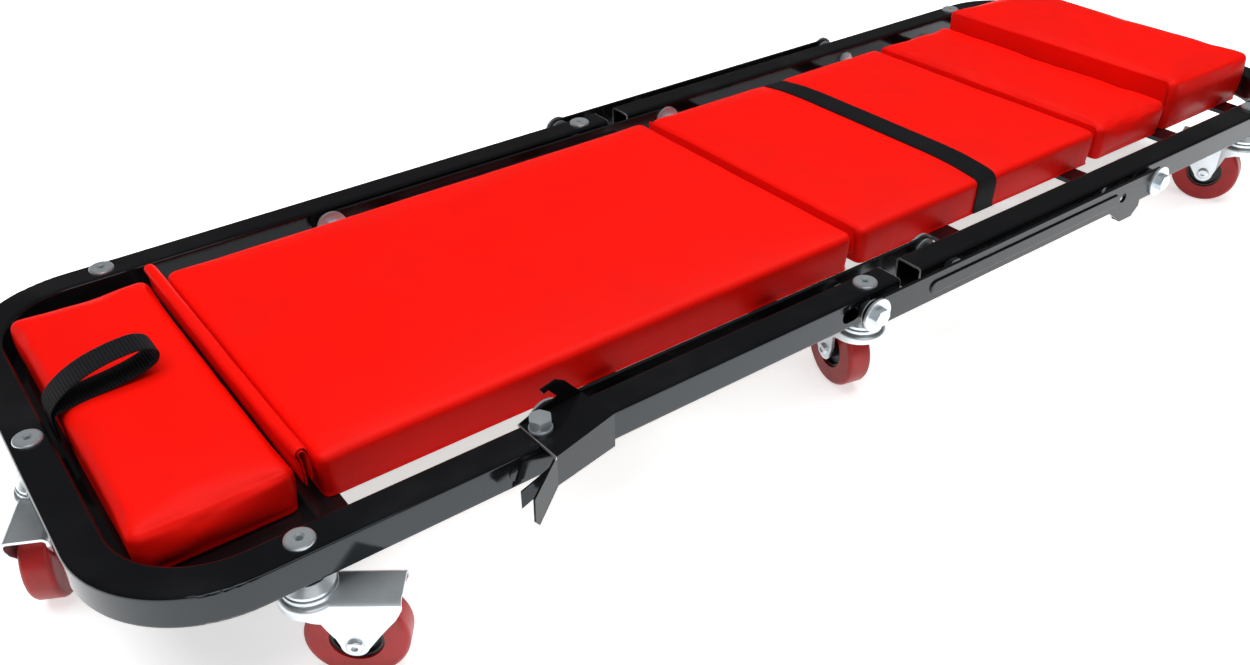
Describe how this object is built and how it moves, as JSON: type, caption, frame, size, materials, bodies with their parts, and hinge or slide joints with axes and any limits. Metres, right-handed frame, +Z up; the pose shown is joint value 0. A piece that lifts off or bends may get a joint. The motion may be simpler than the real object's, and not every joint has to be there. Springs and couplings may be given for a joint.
{
  "type": "folding creeper seat",
  "caption": "Low wheeled mechanic's creeper with padded bed; its head half folds up and over on side links to make a rolling seat.",
  "frame": {"origin": "middle of the whole part's box, on the floor under the wheels", "axes": "+X along the creeper towards the head rest, +Y across it, +Z up"},
  "size_m": [1.2454, 0.4688, 0.139],
  "materials": {
    "frame_black": "smooth gloss black coating",
    "link_black": "smooth gloss black coating",
    "zinc": "zinc plated",
    "ball_steel": "polished",
    "tread_red": "cast polyurethane, satin",
    "hub_black": "moulded, matte",
    "vinyl_red": "smooth vinyl over foam",
    "webbing_black": "woven webbing",
    "plywood": "bare plywood"
  },
  "bodies": {
    "base": {"base_frame_tube": "frame_black", "base_cross_bars": "frame_black", "foot_plate": "frame_black", "base_stem_rivets": "zinc", "base_race_cups": "zinc", "base_race_balls": "ball_steel", "base_inner_pivots": "zinc", "base_outer_pivots": "zinc", "base_pivot_spacers": "hub_black", "catch_bolt": "zinc", "base_pad": "vinyl_red", "base_pad_board": "plywood", "base_pad_screws": "zinc", "fold_bead": "vinyl_red"},
    "catch": {"catch_bracket": "link_black"},
    "foot_lid": {"foot_pad": "vinyl_red", "foot_pad_board": "plywood", "pull_loop": "webbing_black"},
    "inner_link_near": {"inner_link_near": "link_black"},
    "inner_link_far": {"inner_link_far": "link_black"},
    "outer_link_near": {"outer_link_near": "link_black"},
    "outer_link_far": {"outer_link_far": "link_black"},
    "seat": {"seat_frame_tube": "frame_black", "seat_cross_bars": "frame_black", "seat_stem_rivets": "zinc", "seat_race_cups": "zinc", "seat_race_balls": "ball_steel", "seat_inner_pivots": "zinc", "seat_outer_pivots": "zinc", "seat_pivot_spacers": "hub_black", "seat_pad": "vinyl_red", "middle_pad": "vinyl_red", "head_pad": "vinyl_red", "seat_pad_boards": "plywood", "seat_pad_screws": "zinc", "seat_pad_lips": "vinyl_red", "pad_strap": "webbing_black"},
    "caster_corner_near": {"fork_corner_near": "zinc"},
    "wheel_corner_near": {"tyre_corner_near": "tread_red", "hub_corner_near": "hub_black"},
    "caster_corner_far": {"fork_corner_far": "zinc"},
    "wheel_corner_far": {"tyre_corner_far": "tread_red", "hub_corner_far": "hub_black"},
    "caster_foot_end": {"fork_foot_end": "zinc"},
    "wheel_foot_end": {"tyre_foot_end": "tread_red", "hub_foot_end": "hub_black"},
    "caster_mid_near": {"fork_mid_near": "zinc"},
    "wheel_mid_near": {"tyre_mid_near": "tread_red", "hub_mid_near": "hub_black"},
    "caster_mid_far": {"fork_mid_far": "zinc"},
    "wheel_mid_far": {"tyre_mid_far": "tread_red", "hub_mid_far": "hub_black"},
    "caster_head_near": {"fork_head_near": "zinc"},
    "wheel_head_near": {"tyre_head_near": "tread_red", "hub_head_near": "hub_black"},
    "caster_head_far": {"fork_head_far": "zinc"},
    "wheel_head_far": {"tyre_head_far": "tread_red", "hub_head_far": "hub_black"}
  },
  "joints": [
    {"name": "inner_link_near_fold", "type": "hinge", "parent": "base", "child": "inner_link_near", "pos_m": [-0.30181, -0.1685, 0.091], "axis": [0, -1, 0], "range_deg": [0, 134]},
    {"name": "inner_link_far_fold", "type": "hinge", "parent": "base", "child": "inner_link_far", "pos_m": [-0.30181, 0.1685, 0.091], "axis": [0, -1, 0], "range_deg": [0, 134]},
    {"name": "outer_link_near_fold", "type": "hinge", "parent": "base", "child": "outer_link_near", "pos_m": [-0.03781, -0.2115, 0.091], "axis": [0, -1, 0], "range_deg": [0, 134]},
    {"name": "outer_link_far_fold", "type": "hinge", "parent": "base", "child": "outer_link_far", "pos_m": [-0.03781, 0.2115, 0.091], "axis": [0, -1, 0], "range_deg": [0, 134]},
    {"name": "seat_level", "type": "hinge", "parent": "inner_link_near", "child": "seat", "pos_m": [0.06319, -0.1685, 0.091], "axis": [0, -1, 0], "range_deg": [-134, 0]},
    {"name": "foot_pad_flip", "type": "hinge", "parent": "base", "child": "foot_lid", "pos_m": [-0.45731, 0, 0.112], "axis": [0, 1, 0], "range_deg": [0, 110], "deforming": ["fold_bead"]},
    {"name": "catch_swing", "type": "hinge", "parent": "base", "child": "catch", "pos_m": [-0.32131, -0.19, 0.105], "axis": [0, 0, 1], "range_deg": [-3, 0]},
    {"name": "swivel_corner_near", "type": "hinge", "parent": "base", "child": "caster_corner_near", "pos_m": [-0.48431, -0.19, 0.07], "axis": [0, 0, 1], "continuous": true},
    {"name": "roll_corner_near", "type": "hinge", "parent": "caster_corner_near", "child": "wheel_corner_near", "pos_m": [-0.46485, -0.20439, 0.03175], "axis": [0.5948, 0.8039, 0], "continuous": true},
    {"name": "swivel_corner_far", "type": "hinge", "parent": "base", "child": "caster_corner_far", "pos_m": [-0.48431, 0.19, 0.07], "axis": [0, 0, 1], "continuous": true},
    {"name": "roll_corner_far", "type": "hinge", "parent": "caster_corner_far", "child": "wheel_corner_far", "pos_m": [-0.46485, 0.20439, 0.03175], "axis": [-0.5948, 0.8039, 0], "continuous": true},
    {"name": "swivel_foot_end", "type": "hinge", "parent": "base", "child": "caster_foot_end", "pos_m": [-0.58481, 0, 0.07], "axis": [0, 0, 1], "continuous": true},
    {"name": "roll_foot_end", "type": "hinge", "parent": "caster_foot_end", "child": "wheel_foot_end", "pos_m": [-0.59579, -0.02156, 0.03175], "axis": [0.891, -0.454, 0], "continuous": true},
    {"name": "swivel_mid_near", "type": "hinge", "parent": "base", "child": "caster_mid_near", "pos_m": [-0.02731, -0.19, 0.07], "axis": [0, 0, 1], "continuous": true},
    {"name": "roll_mid_near", "type": "hinge", "parent": "caster_mid_near", "child": "wheel_mid_near", "pos_m": [-0.02182, -0.16643, 0.03175], "axis": [-0.974, 0.2267, 0], "continuous": true},
    {"name": "swivel_mid_far", "type": "hinge", "parent": "base", "child": "caster_mid_far", "pos_m": [-0.02731, 0.19, 0.07], "axis": [0, 0, 1], "continuous": true},
    {"name": "roll_mid_far", "type": "hinge", "parent": "caster_mid_far", "child": "wheel_mid_far", "pos_m": [-0.02182, 0.16643, 0.03175], "axis": [0.974, 0.2267, 0], "continuous": true},
    {"name": "swivel_head_near", "type": "hinge", "parent": "seat", "child": "caster_head_near", "pos_m": [0.51869, -0.19, 0.07], "axis": [0, 0, 1], "continuous": true},
    {"name": "roll_head_near", "type": "hinge", "parent": "caster_head_near", "child": "wheel_head_near", "pos_m": [0.51026, -0.16732, 0.03175], "axis": [-0.9373, -0.3486, 0], "continuous": true},
    {"name": "swivel_head_far", "type": "hinge", "parent": "seat", "child": "caster_head_far", "pos_m": [0.51869, 0.19, 0.07], "axis": [0, 0, 1], "continuous": true},
    {"name": "roll_head_far", "type": "hinge", "parent": "caster_head_far", "child": "wheel_head_far", "pos_m": [0.51026, 0.16732, 0.03175], "axis": [0.9373, -0.3486, 0], "continuous": true}
  ],
  "couplings": [
    {"joint": "seat_level", "follows": "inner_link_near_fold", "ratio": -1},
    {"joint": "inner_link_far_fold", "follows": "inner_link_near_fold", "ratio": 1},
    {"joint": "outer_link_near_fold", "follows": "inner_link_near_fold", "ratio": 1},
    {"joint": "outer_link_far_fold", "follows": "inner_link_near_fold", "ratio": 1}
  ]
}
